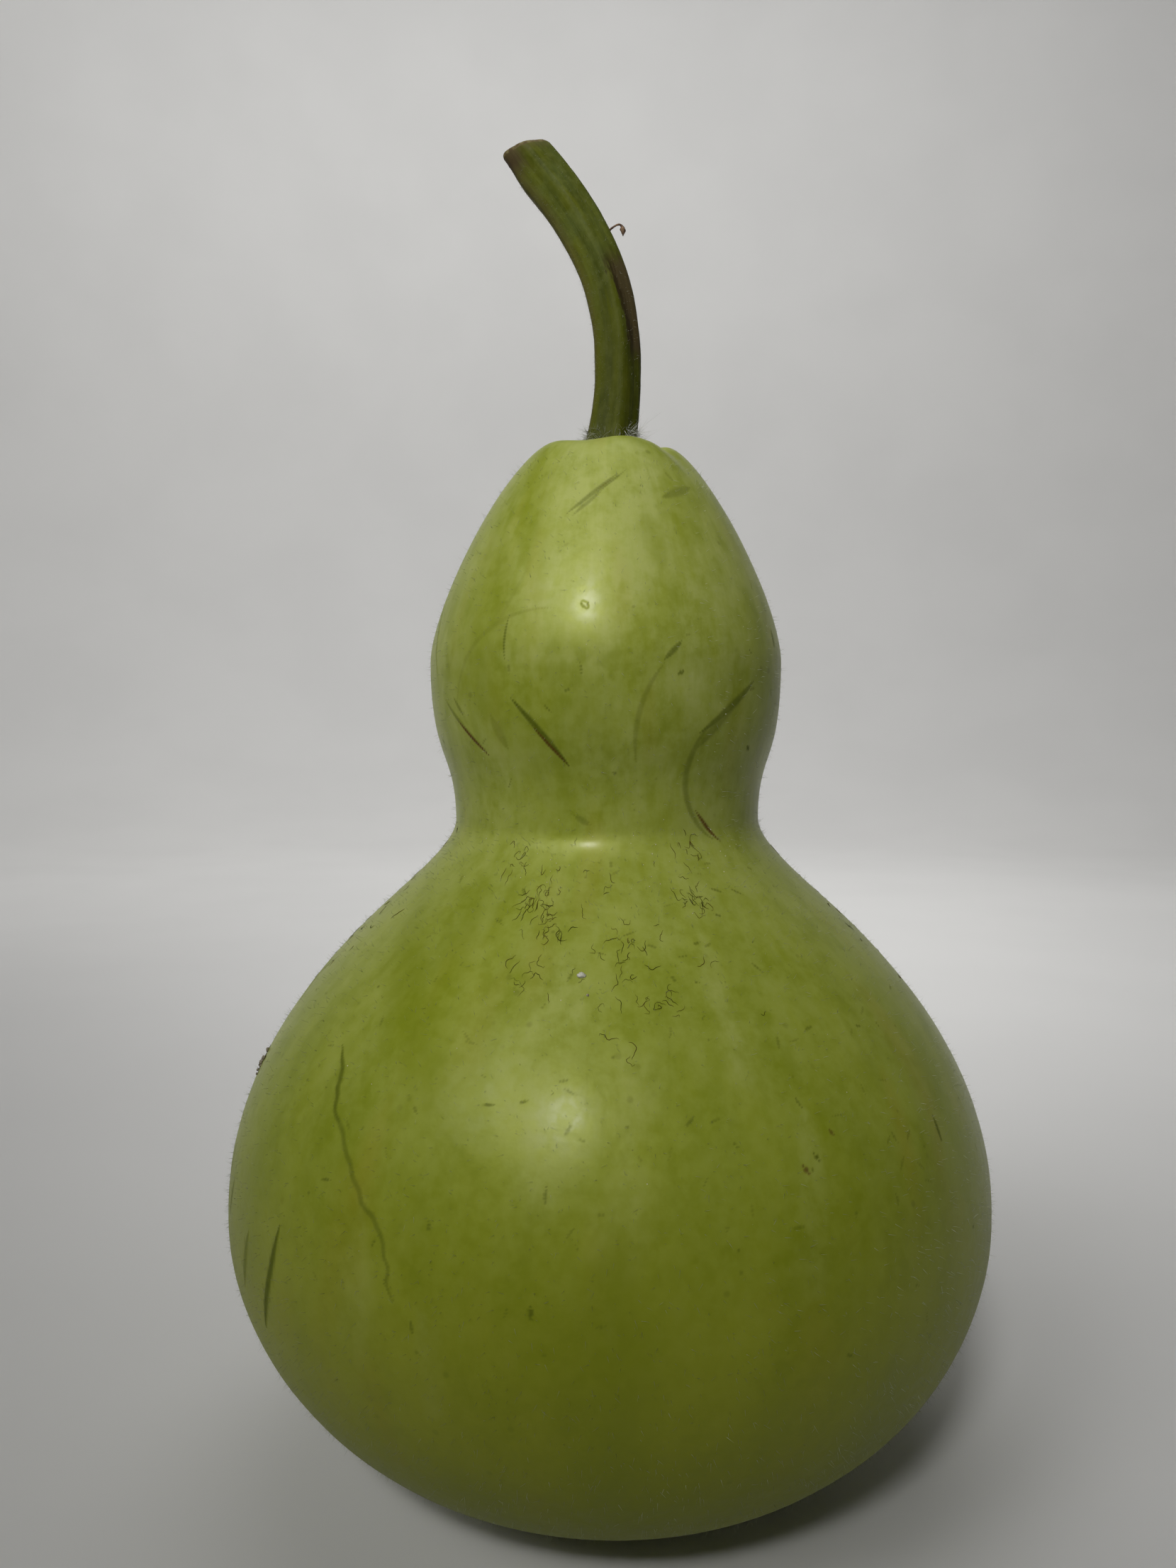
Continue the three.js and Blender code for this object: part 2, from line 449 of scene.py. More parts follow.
def bulb_scratches():
    """The scratches and spots on the front of the upper bulb, from the top down."""
    return [
        # Scratches brushed side by side, and a smudge right of them.
        Mark(4.5, 0.954, -134, 13.5, 1.4, bruise=0.6, groove=0.04),
        Mark(8.5, 0.957, -136, 10, 0.9, bruise=0.6, groove=0.03),
        Mark(-3, 0.937, -132, 8, 1.2, bruise=0.5),
        Mark(3, 0.95, -138, 6, 0.5, scar=0.45),
        Mark(25, 0.932, 24, 9, 2.6, bruise=0.45),
        Mark(31, 0.96, -60, 3, 1.0, bruise=0.3),
        # A pit, a short thin scratch and a faint curve, left of the middle.
        Mark(-8, 0.83, -45, 1, 1.5, frost=0.9, groove=0.06, taper=0.2),
        Mark(-8.5, 0.829, -45, 0.6, 0.8, bruise=0.45, taper=0.2),
        Mark(-31.5, 0.821, -100, 9, 0.75, bend=20, bruise=0.8, groove=0.04),
        Mark(-30.5, 0.778, -85, 2, 0.8, bruise=0.45),
        Mark(-17, 0.826, 178, 33, 1.3, bend=85, bruise=0.16, rubbed=0.3),
        Mark(-28, 0.866, -110, 14, 1.2, bruise=0.13),
        # Two long scratches low on the left, each dried brown in its lower half.
        Mark(-30, 0.747, -46, 17, 1.6, bend=-10, bruise=0.95, groove=0.08),
        Mark(-23.5, 0.722, -50, 10, 0.9, scar=0.85),
        Mark(-61, 0.748, -42, 16, 1.2, bruise=0.6, groove=0.05),
        Mark(-54, 0.728, -43, 11, 0.95, scar=1.0),
        Mark(-55, 0.749, -52, 5, 1.0, bruise=0.55),
        Mark(-38, 0.731, -65, 7, 2.6, bruise=0.25, rubbed=0.4),
        # A thin arc right of the middle. It starts dark.
        Mark(21.5, 0.797, -135, 5, 1.4, bruise=0.75, groove=0.04),
        Mark(16, 0.777, -130, 20, 1.4, bend=52, bruise=0.33),
        Mark(20.5, 0.768, 30, 1, 1.1, bruise=0.85, taper=0.3),
        # A broad one beside it that thins, curls round and ends brown.
        Mark(50, 0.763, -142, 17, 2.0, bend=-4, bruise=0.75, groove=0.05),
        Mark(43, 0.747, -140, 13, 2.8, bend=12, bruise=0.5, groove=0.03),
        Mark(36, 0.734, -143, 29.5, 1.6, bend=110, bruise=0.5, taper=0.5),
        Mark(31, 0.645, -52, 8.5, 1.1, bend=8, scar=0.95, groove=0.05),
        Mark(51, 0.703, -40, 1, 1.2, bruise=0.95, taper=0.3),
        Mark(67, 0.815, -90, 4, 1.9, bruise=0.55),
        # A small dull one at the waist.
        Mark(-12, 0.642, -35, 3.5, 1.6, bend=10, bruise=0.45),
    ]


def belly_scratches():
    """The scratches and spots on the front of the belly, from the left."""
    return [
        # Short leaf-shaped ones by the left edge.
        Mark(-72, 0.33, -95, 10, 1.8, bruise=0.65),
        Mark(-67, 0.31, -100, 8, 1.9, bruise=0.7),
        Mark(-79, 0.31, -95, 9, 1.9, bruise=0.7),
        Mark(-57, 0.285, -105, 12, 2.4, bruise=0.6, groove=0.05),
        Mark(-48, 0.31, -100, 22, 2.2, bend=-14, bruise=1.0, groove=0.09),
        # The long jagged crack, drawn twice so that its upper third is darker.
        Mark(-48, 0.45, -60, 48, 1.3, bend=4, waver=50, bruise=0.55, groove=0.05, taper=0.4),
        Mark(-48, 0.45, -60, 16, 1.5, bend=1.3, waver=50, bruise=0.8, rubbed=0.5),
        # Single specks.
        Mark(-10, 0.3, -85, 2, 1.1, bruise=0.9, taper=0.4),
        Mark(24.5, 0.385, -60, 1.5, 1.2, scar=0.8, taper=0.3),
        Mark(26.5, 0.392, -60, 1.5, 1.0, bruise=0.9, taper=0.3),
        Mark(30, 0.405, -60, 1, 0.9, scar=0.7, taper=0.3),
        Mark(52, 0.39, -92, 5, 1.2, bruise=0.85),
    ]


def front_areas():
    """Broad soft areas in front. Rubbed ones have lost their bloom, frosted ones have more of it."""
    return [
        # The upper bulb: rubbed down its left and over the waist, frosted in the middle.
        Mark(-47, 0.985, -75, 32, 8, rubbed=0.62),
        Mark(-42, 0.89, -90, 34, 15, rubbed=0.66),
        Mark(-52, 0.77, -30, 30, 15, rubbed=0.6),
        Mark(-14, 0.77, -60, 18, 15, rubbed=0.5),
        Mark(22, 0.74, -75, 12, 13, rubbed=0.25),
        Mark(-17, 0.97, -78, 42, 15, frost=0.7),
        Mark(22, 0.965, -105, 40, 17, frost=0.8),
        Mark(32, 0.89, -85, 30, 8, frost=0.45),
        # The belly: rubbed beside the crack and low in the middle, frosted between them.
        Mark(-65, 0.58, -50, 75, 13, rubbed=0.8),
        Mark(-38, 0.58, -80, 28, 10, rubbed=0.6),
        Mark(0, 0.35, -93, 46, 20, rubbed=0.8),
        Mark(19, 0.25, -92, 18, 11, rubbed=0.6),
        # This broad rubbed patch low on the right is partly the skin's deeper green and partly painted
        # shade.
        Mark(36, 0.22, -85, 26, 24, rubbed=0.9),
        Mark(-8, 0.53, -92, 44, 20, frost=0.8),
        Mark(20, 0.545, -92, 34, 7, frost=0.8),
        Mark(2, 0.47, -90, 16, 12, frost=0.7),
        Mark(-33, 0.34, -88, 24, 9, frost=0.7),
        Mark(27, 0.42, -100, 30, 8, frost=0.7),
        Mark(-23, 0.28, -85, 17, 5, frost=0.75),
        Mark(54, 0.45, -100, 44, 12, frost=0.35),
        # A warm tinge on the right.
        Mark(45, 0.44, -100, 34, 5.5, tinge=0.7),
        Mark(52, 0.41, -100, 14, 4, tinge=0.8),
    ]


# Where ticks gather: how many, the turns and the shares of the height that they lie between.
TICK_BANDS = [
    (60, -55, 55, 0.34, 0.47),
    (46, -50, 55, 0.46, 0.60),
    (16, -40, 60, 0.23, 0.34),
    (14, -50, 60, 0.65, 0.90),
    (90, 60, 300, 0.28, 0.60),
    (20, 60, 300, 0.65, 0.94),
]


def tick_marks(rng):
    """Short dark ticks under the skin, most of them on the belly's shoulder."""
    marks = []
    for count, turn_low, turn_high, low, high in TICK_BANDS:
        for _ in range(count):
            place = rng.uniform(turn_low, turn_high), rng.uniform(low, high)
            tick = Mark(*place, rng.uniform(0, 360), rng.uniform(0.8, 3), rng.uniform(0.45, 0.85))
            tick.bend = rng.uniform(-40, 40)
            tick.bruise = rng.uniform(0.3, 0.8)
            marks.append(tick)
    return marks


def back_marks(rng, count=16):
    """Scratches on the far side, like those in front."""
    marks = []
    for _ in range(count):
        share = rng.choice((rng.uniform(0.25, 0.55), rng.uniform(0.7, 0.92)))
        scratch = Mark(rng.uniform(75, 285), share, rng.uniform(-140, -40), rng.uniform(7, 20), 1.0)
        scratch.width = rng.uniform(0.7, 1.8)
        scratch.bend = rng.uniform(-30, 30)
        scratch.bruise = rng.uniform(0.35, 0.8)
        scratch.groove = 0.05
        marks.append(scratch)
    for scratch in marks[:6]:
        dried = Mark(scratch.turn, scratch.share, scratch.heading, scratch.reach * 0.5, 0.6)
        dried.scar = 0.8
        marks.append(dried)
    return marks


def soft_streaks(rng, count=80):
    """Soft streaks down the fruit on all its sides, fainter in front. Warm ones stay on the belly."""
    areas = []
    for _ in range(count):
        turn = rng.uniform(-180, 180)
        share = rng.choice((rng.uniform(0.25, 0.6), rng.uniform(0.75, 0.97)))
        streak = Mark(turn, share, rng.uniform(-100, -80), rng.uniform(12, 36), rng.uniform(4.1, 13))
        kind = rng.choice(("rubbed", "frost", "rubbed", "frost", "tinge"))
        if kind == "tinge" and share > 0.6:
            kind = "frost"
        most = 0.6 if abs(turn) < 65 else 0.9
        setattr(streak, kind, rng.uniform(0.25, most))
        areas.append(streak)
    return areas


def settle(bm, outline):
    """Puts every vertex of the fruit's side back on its round outline."""
    for vert in bm.verts:
        if outline.low < vert.co.z < outline.high and vert.co.xy.length > 15 * MM:
            vert.co.xy = vert.co.xy.normalized() * outline.radius(vert.co.z)


def refine_near(bm, lines, outline, reaches, finest=0.3 * MM):
    """Cuts the faces near the marks finer, once for each reach, and settles the new vertices."""
    points = [point for line in lines for point in line]
    tree = kdtree.KDTree(len(points))
    for index, point in enumerate(points):
        tree.insert(point, index)
    tree.balance()
    for reach in reaches:
        near = []
        for edge in bm.edges:
            middle = (edge.verts[0].co + edge.verts[1].co) / 2
            if edge.calc_length() > finest and tree.find(middle)[2] < reach:
                near.append(edge)
        bmesh.ops.subdivide_edges(bm, edges=near, cuts=1, use_grid_fill=True)
        settle(bm, outline)


def press_marks(bm, marks, outline):
    """Writes each mark's strength on the vertices near it, and gives back how deep its groove is at each
    vertex.
    """
    places = np.array([vert.co for vert in bm.verts])
    kinds = {kind: np.zeros(len(places)) for kind in (*PAINTED, "groove")}
    for mark in marks:
        line = np.array(mark.line(outline))
        half = mark.width * MM / 2
        middle, reach = line.mean(0), np.ptp(line, axis=0).max() + 2 * half
        near = np.where(np.abs(places - middle).max(1) < reach)[0]
        gaps = np.linalg.norm(places[near, None] - line[None], axis=2)
        nearest = gaps.argmin(1)
        share = nearest / (len(line) - 1)
        taper = np.clip(np.sin(np.pi * (0.04 + 0.92 * share)), 0, 1) ** mark.taper
        across = gaps[np.arange(len(near)), nearest] / (half * taper)
        inner, outer = (0.4, 1.2) if mark.width < BROAD else (0.0, 1.35)
        fade = np.clip((outer - across) / (outer - inner), 0, 1)
        fade = fade * fade * (3 - 2 * fade)
        for kind in kinds:
            kinds[kind][near] = np.maximum(kinds[kind][near], getattr(mark, kind) * fade)
    layers = {kind: bm.verts.layers.float.new(kind) for kind in PAINTED}
    for index, vert in enumerate(bm.verts):
        for kind, layer in layers.items():
            vert[layer] = kinds[kind][index]
    return kinds["groove"] * MM


def fruit_form(place, size):
    """Where a point of the turned fruit lies on the grown one, which is a little uneven."""
    _, crown, rim, _ = landmarks(size)
    angle, radius = math.atan2(place.y, place.x), place.xy.length
    off_ground = ease(place.z, 0, size.belly_height)
    off_seat = ease(radius, size.seat_radius, size.rim_radius)
    near_rim = ease(place.z, rim - size.shoulder_rise / 4, rim)
    swelling = 0.006 * math.cos(2 * angle - 1) + 0.004 * math.cos(3 * angle + 2)
    radius *= 1 + off_ground * (1 - near_rim) * off_seat * swelling
    lean = size.top_lean * ease(place.z, size.belly_height, crown)
    wave = near_rim * off_seat * size.rim_wave * math.cos(5 * angle)
    # One fold runs down between two lobes of the rim, right of the middle.
    fold = math.exp(-(((angle + 0.62) / 0.16) ** 2)) * near_rim * off_seat
    height = place.z + wave - 0.9 * MM * fold
    return Vector((radius * math.cos(angle) - lean, radius * math.sin(angle), height))


def grow(bm, size, grooves):
    """Moves the turned fruit's vertices to their grown places, lumps and grooves included."""
    for vert in bm.verts:
        vert.co = fruit_form(vert.co, size)
    bm.normal_update()
    normals = [vert.normal.copy() for vert in bm.verts]
    for vert, normal, groove in zip(bm.verts, normals, grooves):
        free = ease(vert.co.z, 2 * MM, 30 * MM)
        broad = noise.noise(vert.co * 28) + 0.35 * noise.noise(vert.co * 85)
        vert.co += normal * (size.lump * free * broad - groove)


def make_fruit(size, looks):
    outline = Outline(size)
    bm = bmesh.new()
    verts = [bm.verts.new(point) for point in outline.points]
    edges = [bm.edges.new(pair) for pair in zip(verts, verts[1:])]
    bmesh.ops.spin(
        bm, geom=verts + edges, axis=(0, 0, 1), angle=math.tau, steps=180, use_merge=True
    )
    bmesh.ops.remove_doubles(bm, verts=bm.verts, dist=0.001 * MM)
    rng = random.Random(11)
    marks = bulb_scratches() + belly_scratches() + front_areas()
    marks += tick_marks(rng) + back_marks(rng) + soft_streaks(rng)
    fine = [mark.line(outline) for mark in marks if mark.width < BROAD]
    refine_near(bm, fine, outline, (2.6 * MM, 1.4 * MM, 0.8 * MM))
    grooves = press_marks(bm, marks, outline)
    grow(bm, size, grooves)
    bmesh.ops.recalc_face_normals(bm, faces=bm.faces)
    return finish_piece("gourd_skin", bm, skin_material(looks), "skin", "gourd_fruit")


def skin_material(looks):
    """Waxy gourd skin: green streaks down its length, patches of bloom, flecks and marks, with painted
    shade low down.
    """
    paint = Paint("gourd_skin", Subsurface_Weight=0.12, Subsurface_Scale=0.004)
    paint.set("Specular IOR Level", 0.6)
    paint.set("Specular Tint", (0.95, 1.0, 0.32))
    paint.set("Coat Roughness", 0.22)
    paint.set("Sheen Weight", 0.03)
    paint.set("Sheen Roughness", 0.35)
    paint.set("Sheen Tint", (0.9, 0.92, 0.7))
    paint.set("Subsurface Radius", (1.0, 0.9, 0.25))
    place = paint.place()
    # Streaks follow the fruit's length: the noise sees the way out from the axis, and little height.
    level = paint.add(
        "ShaderNodeVectorMath", {"operation": "MULTIPLY"}, {0: place, 1: (1, 1, 0)}
    )
    outward = paint.add("ShaderNodeVectorMath", {"operation": "NORMALIZE"}, {0: level})
    upward = paint.scaled(place, (0, 0, 7))
    around = paint.add("ShaderNodeVectorMath", {"operation": "ADD"}, {0: outward, 1: upward})
    streaks = paint.noise(around, 5.5, 3, 0.55).step(0.36, 0.66)
    fine_streaks = paint.noise(around, 17, 3, 0.6).step(0.3, 0.75)
    clouds = paint.noise(place, 26, 3, 0.6).step(0.38, 0.68)
    small_clouds = paint.noise(paint.scaled(place, (1, 1, 0.6)), 120, 4, 0.62).step(0.36, 0.68)
    mottle = paint.noise(place, 380, 3, 0.6).step(0.34, 0.68)
    grain = paint.noise(place, 900, 2, 0.6)
    height = paint.add("ShaderNodeSeparateXYZ", {}, {0: place}, "Z")
    rubbed = paint.attribute("rubbed")
    frost = paint.attribute("frost")
    tinge = paint.attribute("tinge")
    bruise = paint.attribute("bruise")
    scar = paint.attribute("scar")

    tone = streaks * 0.35 + clouds * 0.2 + small_clouds * 0.2 + mottle * 0.2
    green = paint.mix(tone, looks.fresh, looks.ripe)
    # Low marks the bottom of the fruit. The darker, warmer colour it brings is painted shade, partly the
    # skin's own deeper green.
    low = height.step(88 * MM, 22 * MM)
    # Less bloom towards the ground: partly the skin's own bloom, partly painted shade low down.
    frosted = height.step(35 * MM, 165 * MM) * 0.72 + 0.06
    uneven = clouds * 0.2 + small_clouds * 0.34 + mottle * 0.26 + fine_streaks * 0.3 + 0.14
    bloom = uneven * (frosted + frost * 0.5) * (1 - rubbed * 0.75)
    body = paint.mix(bloom, green, looks.bloom)
    # Warm streaks, and a warmer bottom that is part of the painted shade.
    warm = paint.noise(around, 4.2, 2, 0.5).step(0.56, 0.74) * 0.16 + low * 0.32
    body = paint.mix(warm + tinge * 0.4 * (0.5 + clouds), body, looks.ochre)
    flecks = paint.dots(place, 190).step(0.16, 0.06) * paint.noise(place, 60).step(0.48, 0.62)
    body = paint.mix(flecks * 0.3, body, looks.bruise)
    dark_spots = (1 - mottle) * (1 - small_clouds) * 0.10
    # Deeper green where rubbed and in random spots, and low down as painted shade.
    deep = rubbed * (0.14 + small_clouds * 0.18) + dark_spots + low * 0.5
    body = paint.mix(deep, body, tuple(0.62 * part for part in looks.fresh))
    # Darker still near the ground: painted shade.
    body = paint.mix(height.step(45 * MM, 12 * MM) * 0.38, body, looks.bruise)
    body = paint.mix(bruise * (0.70 + grain * 0.4), body, looks.bruise)
    body = paint.mix(scar, body, looks.scar)
    # The blossom end's dry scar under the fruit.
    radius = paint.add("ShaderNodeVectorMath", {"operation": "LENGTH"}, {0: level}, "Value")
    dry = radius.step(5.5 * MM, 3.2 * MM) * height.step(10 * MM, 5 * MM)
    body = paint.mix(dry, body, (0.16, 0.11, 0.05))
    paint.set("Base Color", body)

    waxy = 0.37 + low * 0.2 + bloom * 0.10 + mottle * 0.06 - rubbed * 0.04
    paint.set("Roughness", waxy + bruise * 0.25 + scar * 0.3 + dry * 0.3)
    paint.set("Coat Weight", (0.06 + mottle * 0.18) * (1 - bruise) * (1 - low * 0.9))
    skin_bump = paint.noise(place, 460, 2, 0.55) + grain * 0.25
    broad = paint.bump(paint.noise(place, 170, 2, 0.5), 0.16 * MM, 0.6)
    paint.set("Normal", paint.bump(skin_bump, 0.06 * MM, 0.85, broad))
    return paint.material


# ---- Stem --------------------------------------------------------------------------------------


def seat_centre(size):
    return Vector((-size.top_lean, 0, landmarks(size)[3]))


def stem_line(size, stem, count=64):
    """The stem's middle line, from a little inside the fruit to its cut end."""
    foot = seat_centre(size) - Vector((0, 0, 0.6 * MM))
    knots = [
        Vector((0, 0, 0)),
        Vector((stem.bow, 0, 0.4 * stem.height)),
        Vector((0.7 * stem.bow, 0.3 * stem.set_back, 0.66 * stem.height)),
        Vector((-stem.reach, stem.set_back, stem.height)),
    ]
    return [foot + point for point in geometry.interpolate_bezier(*knots, count)]


def stem_section(stem, share, angle):
    """The stem's radius: five ridges that twist a little, fine ribs, a flared foot."""
    along = share * stem.height
    flare = (stem.foot_radius - stem.radius) * math.exp(-along / stem.flare)
    swell = 0.35 * MM * share**4
    twist = angle + 0.25 * share
    ridge = stem.ridge * (math.cos(5 * twist) + 0.15 * math.cos(10 * twist + 1))
    ridge *= 1 + 0.8 * math.exp(-along / stem.flare)
    ribs = 0.025 * MM * math.cos(31 * twist + 2 * math.sin(9 * share))
    seed = Vector((math.cos(angle), math.sin(angle), share * 6))
    knots = 0.16 * MM * noise.noise(seed * 1.3) + 0.05 * MM * noise.noise(seed * 5)
    return stem.radius + flare + swell + ridge + ribs + knots


def make_stem(size, stem):
    bm = bmesh.new()
    way = bm.verts.layers.float_vector.new("stem_way")
    line = stem_line(size, stem)
    rings = tube(bm, line, lambda share, angle: stem_section(stem, share, angle), 96)
    last = len(rings) - 1
    ahead = (line[-1] - line[-2]).normalized()
    turn = section_turn(ahead)
    for index, ring in enumerate(rings):
        share = index / last
        slope = -math.tan(stem.cut_tilt) * ease(share, 0.5, 1)
        for vert in ring:
            out = turn.inverted() @ (vert.co - line[index])
            vert[way] = (*out.xy.normalized(), share)
            level = 1 - ease(share, 0, 0.12)
            vert.co.z += (line[index].z - vert.co.z) * level
            vert.co += ahead * slope * out.x
            # The left corner of the cut has dried and curled up.
            curl = ease(share, 0.93, 1) * max(-out.x, 0) / stem.radius
            vert.co += (ahead * 1.2 + turn.col[0] * 1.0) * MM * curl
    caps = [face for face in bm.faces if len(face.verts) > 4]
    cut = [face for face in caps if face.calc_center_median().z > line[-3].z]
    dress_cut(bm, cut, ahead, way)
    bmesh.ops.recalc_face_normals(bm, faces=bm.faces)
    return finish_piece("gourd_stem", bm, stem_material(), "stem_green", "stem")


def dress_cut(bm, cut, ahead, way):
    """Rounds the stem's cut end: a shrunken rim, a pale ring of flesh and a sunken pith."""
    steps = ((0.97, 0.5), (0.95, 0.42), (0.92, 0.34), (0.89, 0.2), (0.84, 0.05), (0.75, -0.2), (0.6, -0.3))
    for scale, forward in steps:
        bmesh.ops.inset_individual(bm, faces=cut, thickness=0)
        verts = list({vert for face in cut for vert in face.verts})
        centre = sum((vert.co for vert in verts), Vector()) / len(verts)
        bmesh.ops.scale(bm, vec=(scale,) * 3, space=Matrix.Translation(-centre), verts=verts)
        bmesh.ops.translate(bm, vec=ahead * forward * MM, verts=verts)
        for vert in verts:
            vert[way] = (vert[way].x, vert[way].y, 1.2)


def stem_material():
    """Dull ridged green bark, mottled along its length, with a brown scar and a dry cut end."""
    paint = Paint("stem_bark", Sheen_Weight=0.01, Specular_IOR_Level=0.14)
    way = paint.attribute("stem_way", "Vector")
    place = paint.place()
    along = paint.add("ShaderNodeSeparateXYZ", {}, {0: way}, "Z")
    side = paint.add("ShaderNodeSeparateXYZ", {}, {0: way}, "X")
    back = paint.add("ShaderNodeSeparateXYZ", {}, {0: way}, "Y")
    stripes = paint.noise(paint.scaled(way, (1, 1, 1.8)), 2.2, 3, 0.6).step(0.32, 0.7)
    ribs = paint.noise(paint.scaled(way, (1, 1, 1.5)), 6, 4, 0.7).step(0.3, 0.72)
    patches = paint.noise(place, 170, 4, 0.6).step(0.36, 0.64)
    flecks = paint.noise(place, 650, 3, 0.65).step(0.40, 0.68)
    bark = paint.mix(stripes, (0.050, 0.062, 0.0), (0.120, 0.135, 0.002))
    bark = paint.mix(ribs * 0.35, bark, (0.125, 0.140, 0.012))
    grey = patches * along.step(0.3, 0.75) * 0.5
    bark = paint.mix(grey, bark, (0.11, 0.140, 0.03))
    bark = paint.mix(flecks * 0.34, bark, (0.17, 0.19, 0.04))
    bark = paint.mix(along.step(0.8, 0.3) * 0.42, bark, (0.026, 0.030, 0.0))
    # The left edge is browner.
    edge = (0 - side).step(0.55, 0.95)
    bark = paint.mix(edge * 0.5, bark, (0.17, 0.135, 0.045))
    # The long brown scar, right of the front.
    ragged = (paint.noise(paint.scaled(way, (1, 1, 3)), 5, 3, 0.65) - 0.5) * 0.7
    start = side - along.step(0.66, 0.3) * 0.34 + ragged
    scar = start.step(0.10, 0.22) * (0 - back).step(0.12, 0.3)
    scar = scar * (along + ragged * 0.1).step(0.28, 0.36) * (along + ragged * 0.1).step(0.67, 0.58)
    core = start.step(0.1, 0.2) * start.step(0.5, 0.3)
    dried = paint.mix(core, (0.085, 0.06, 0.025), (0.032, 0.018, 0.006))
    bark = paint.mix(scar * 0.9, bark, dried)
    # The dried left corner and the cut face.
    corner = ((0 - side) + ragged * 0.5).step(0.1, 0.7) * (along + ragged * 0.04).step(0.93, 0.99)
    bark = paint.mix(corner * 0.85, bark, (0.085, 0.05, 0.028))
    rim = along.step(0.975, 1.0)
    bark = paint.mix(rim * 0.45, bark, (0.12, 0.10, 0.035))
    face = along.step(1.04, 1.12)
    flesh = paint.noise(place, 900, 3, 0.6).step(0.35, 0.65)
    bark = paint.mix(face, bark, paint.mix(flesh, (0.2, 0.17, 0.07), (0.1, 0.07, 0.03)))
    paint.set("Base Color", bark)
    paint.set("Roughness", 0.55 + ribs * 0.12 + scar * 0.15 + face * 0.2)
    fibres = paint.noise(paint.scaled(way, (1, 1, 0.2)), 22, 3, 0.6) * 0.6
    relief = fibres + paint.noise(place, 900, 2, 0.6) * 0.5 + patches * 0.2
    paint.set("Normal", paint.bump(relief, 0.12 * MM, 0.7))
    return paint.material


# ---- Withered tendril --------------------------------------------------------------------------


def make_tendril():
    """The dried stub of a tendril: a thread that rises, hooks over and ends in a shrivelled tip."""
    low, high = TENDRIL_LOW, TENDRIL_HIGH
    middle = (low.y + high.y) / 2
    reach = high.x - low.x
    knots = [
        Vector((low.x - 0.5 * MM, middle, low.z + 0.42 * (high.z - low.z))),
        Vector((low.x + 0.45 * reach, middle, high.z + 0.2 * MM)),
        Vector((high.x - 0.6 * MM, middle, high.z + 0.8 * MM)),
        Vector((high.x - 0.75 * MM, middle, low.z + 0.1 * MM)),
    ]
    line = geometry.interpolate_bezier(*knots, 26)

    def radius_at(share, angle):
        thread = 0.2 * MM + 0.25 * MM * math.exp(-share / 0.05)
        tip = 0.38 * MM * math.exp(-(((share - 0.84) / 0.12) ** 2))
        seed = Vector((math.cos(angle), math.sin(angle), share * 9))
        creases = 1 + 0.3 * noise.noise(seed * 1.6) + 0.15 * math.cos(4 * angle + 9 * share)
        return (thread + tip) * creases * math.sqrt(1 - 0.97 * ease(share, 0.9, 1))

    bm = bmesh.new()
    tube(bm, line, radius_at, 14)
    bmesh.ops.recalc_face_normals(bm, faces=bm.faces)
    return finish_piece("tendril_stub", bm, dried_material(), "dried", "withered_tendril")


def dried_material():
    """Dried plant matter, from tan to dark brown."""
    paint = Paint("dried_tendril")
    place = paint.place()
    mottle = paint.noise(place, 1300, 3, 0.6).step(0.35, 0.65)
    paint.set("Base Color", paint.mix(mottle, (0.085, 0.04, 0.02), (0.25, 0.16, 0.09)))
    paint.set("Roughness", 0.7 + mottle * 0.2)
    paint.set("Normal", paint.bump(paint.noise(place, 2500, 2, 0.6), 0.06 * MM))
    return paint.material


# ---- Hairs and specks --------------------------------------------------------------------------


def skin_shape():
    """The finished skin as a tree that rays can be cast at."""
    skin = bpy.data.objects["gourd_skin"].data
    places = [vert.co for vert in skin.vertices]
    faces = [tuple(face.vertices) for face in skin.polygons]
    return BVHTree.FromPolygons(places, faces)


def touch_down(shape, turn, height):
    """The place on the skin and the way out of it, turn degrees right of the front."""
    angle = math.radians(turn)
    out = Vector((math.sin(angle), -math.cos(angle), 0))
    place, normal, _, _ = shape.ray_cast(out * 0.3 + Vector((0, 0, height)), -out)
    return place, normal


def straight_hair(bm, root, way, reach, radius):
    """A three-sided hair that tapers to a point."""
    turn = section_turn(way).to_4x4()
    turn.translation = root + way * reach / 2
    bmesh.ops.create_cone(
        bm, cap_ends=True, segments=3, radius1=radius, radius2=radius * 0.15, depth=reach, matrix=turn
    )


def bent_hair(bm, root, way, reach, radius, droop, joints=3):
    """A three-sided hair that tapers to a point and bends towards droop."""
    shares = [step / joints for step in range(joints + 1)]
    line = [root + way * reach * share + droop * share * share for share in shares]
    tube(bm, line, lambda share, angle: radius * (1 - 0.85 * share), 3)


def in_batches(count, make_one, batch=60):
    """One bmesh of many small things, made in small batches because a small bmesh is quick."""
    whole = bmesh.new()
    for start in range(0, count, batch):
        part = bmesh.new()
        for _ in range(min(batch, count - start)):
            make_one(part)
        mesh = bpy.data.meshes.new("batch")
        part.to_mesh(mesh)
        part.free()
        whole.from_mesh(mesh)
        bpy.data.meshes.remove(mesh)
    return whole


